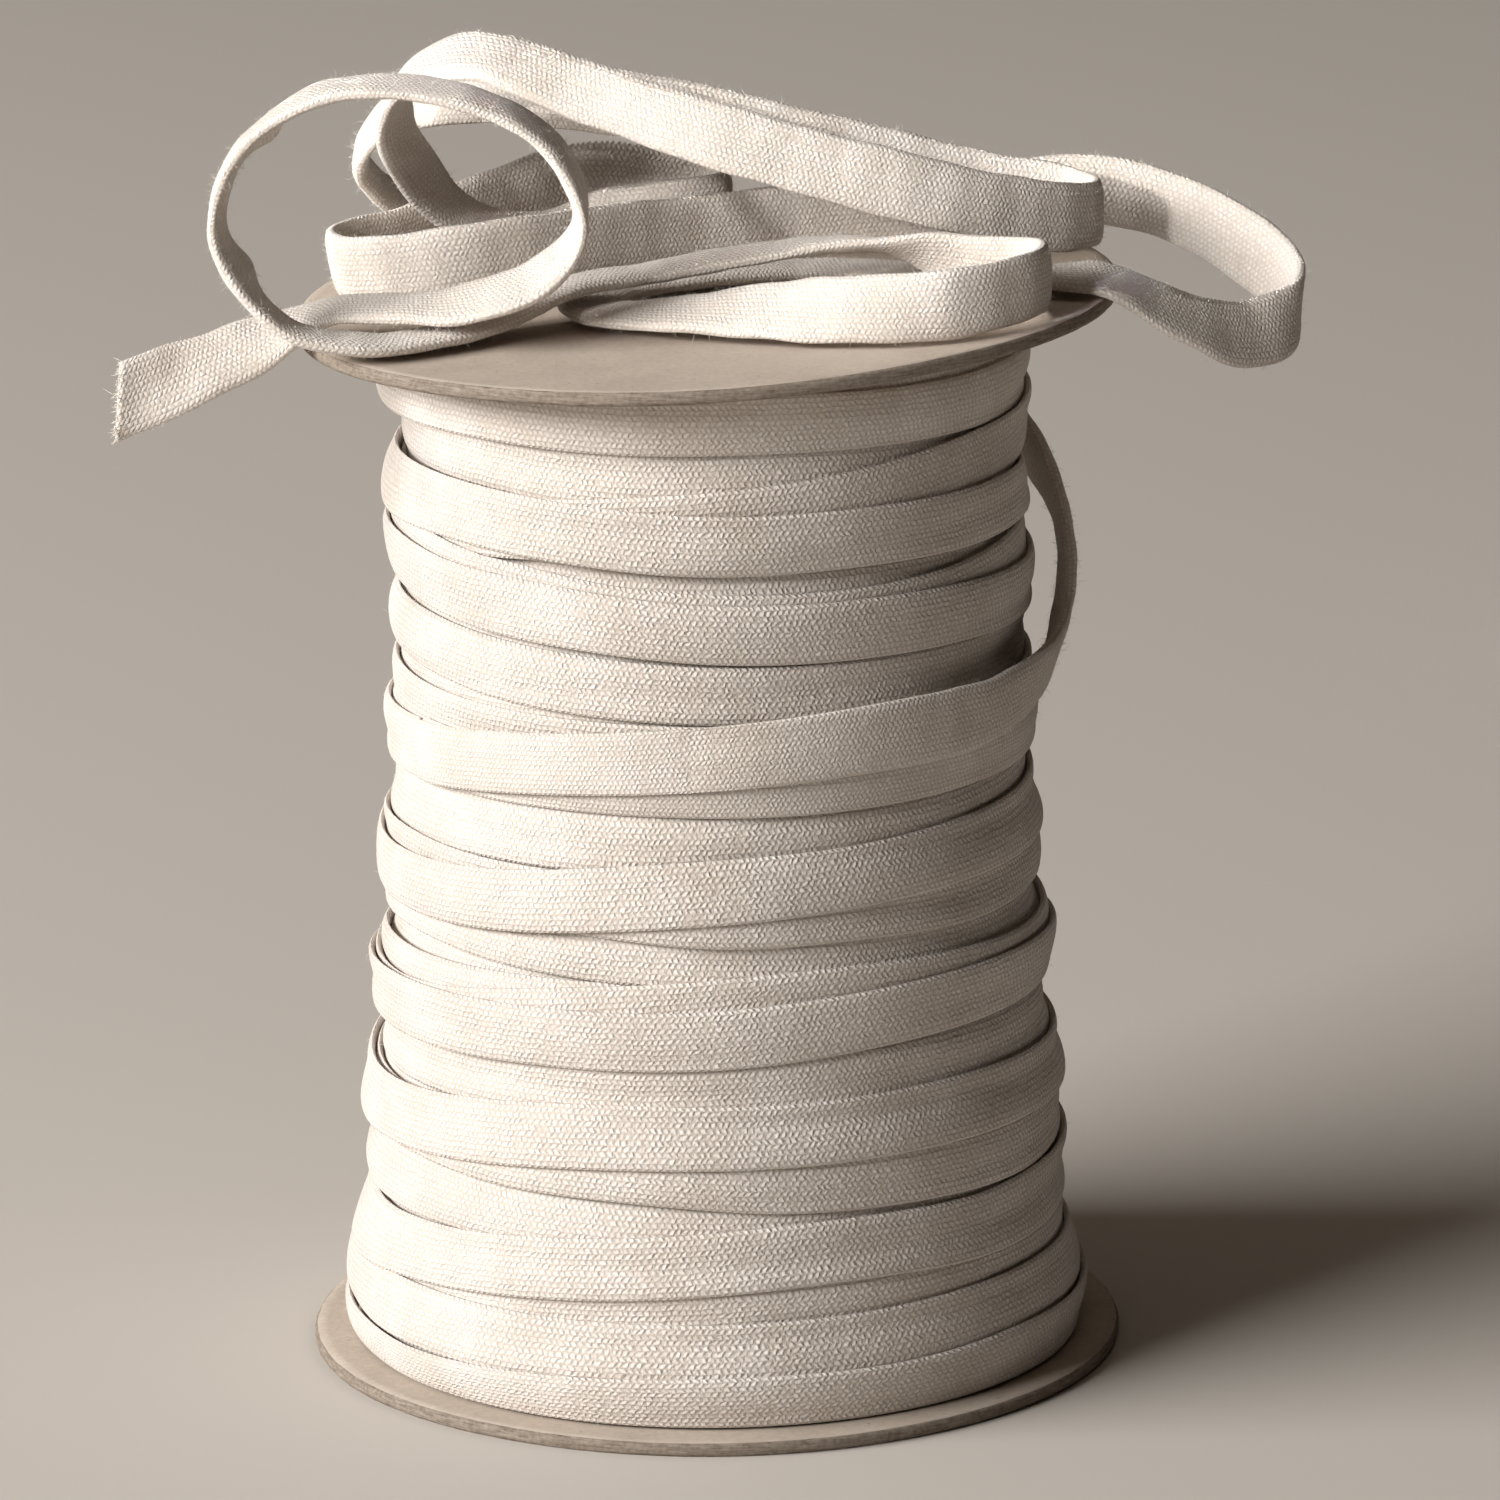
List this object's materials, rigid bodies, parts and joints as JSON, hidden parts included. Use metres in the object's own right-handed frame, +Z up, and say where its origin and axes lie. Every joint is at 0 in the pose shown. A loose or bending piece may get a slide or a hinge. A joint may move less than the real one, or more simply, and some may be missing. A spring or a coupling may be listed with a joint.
{
  "type": "roll of drawstring cord",
  "caption": "Flat cotton drawstring cord wound on a spool with two greyboard discs, its loose end piled in loops on the upper disc.",
  "frame": {"origin": "on the spool's axis, at the underside of the lower disc", "axes": "+Z up along the spool's axis, -Y the front of the roll in the picture, +X to its right"},
  "size_m": [0.1395, 0.1047, 0.1576],
  "materials": {
    "greyboard": "matt, uncoated, cut edge a little darker",
    "cotton_cord": "natural unbleached cotton, flat tubular braid, soft and matt"
  },
  "bodies": {
    "root": {"lower_flange": "greyboard", "upper_flange": "greyboard", "wound_cord": "cotton_cord", "loose_cord": "cotton_cord"}
  },
  "joints": []
}
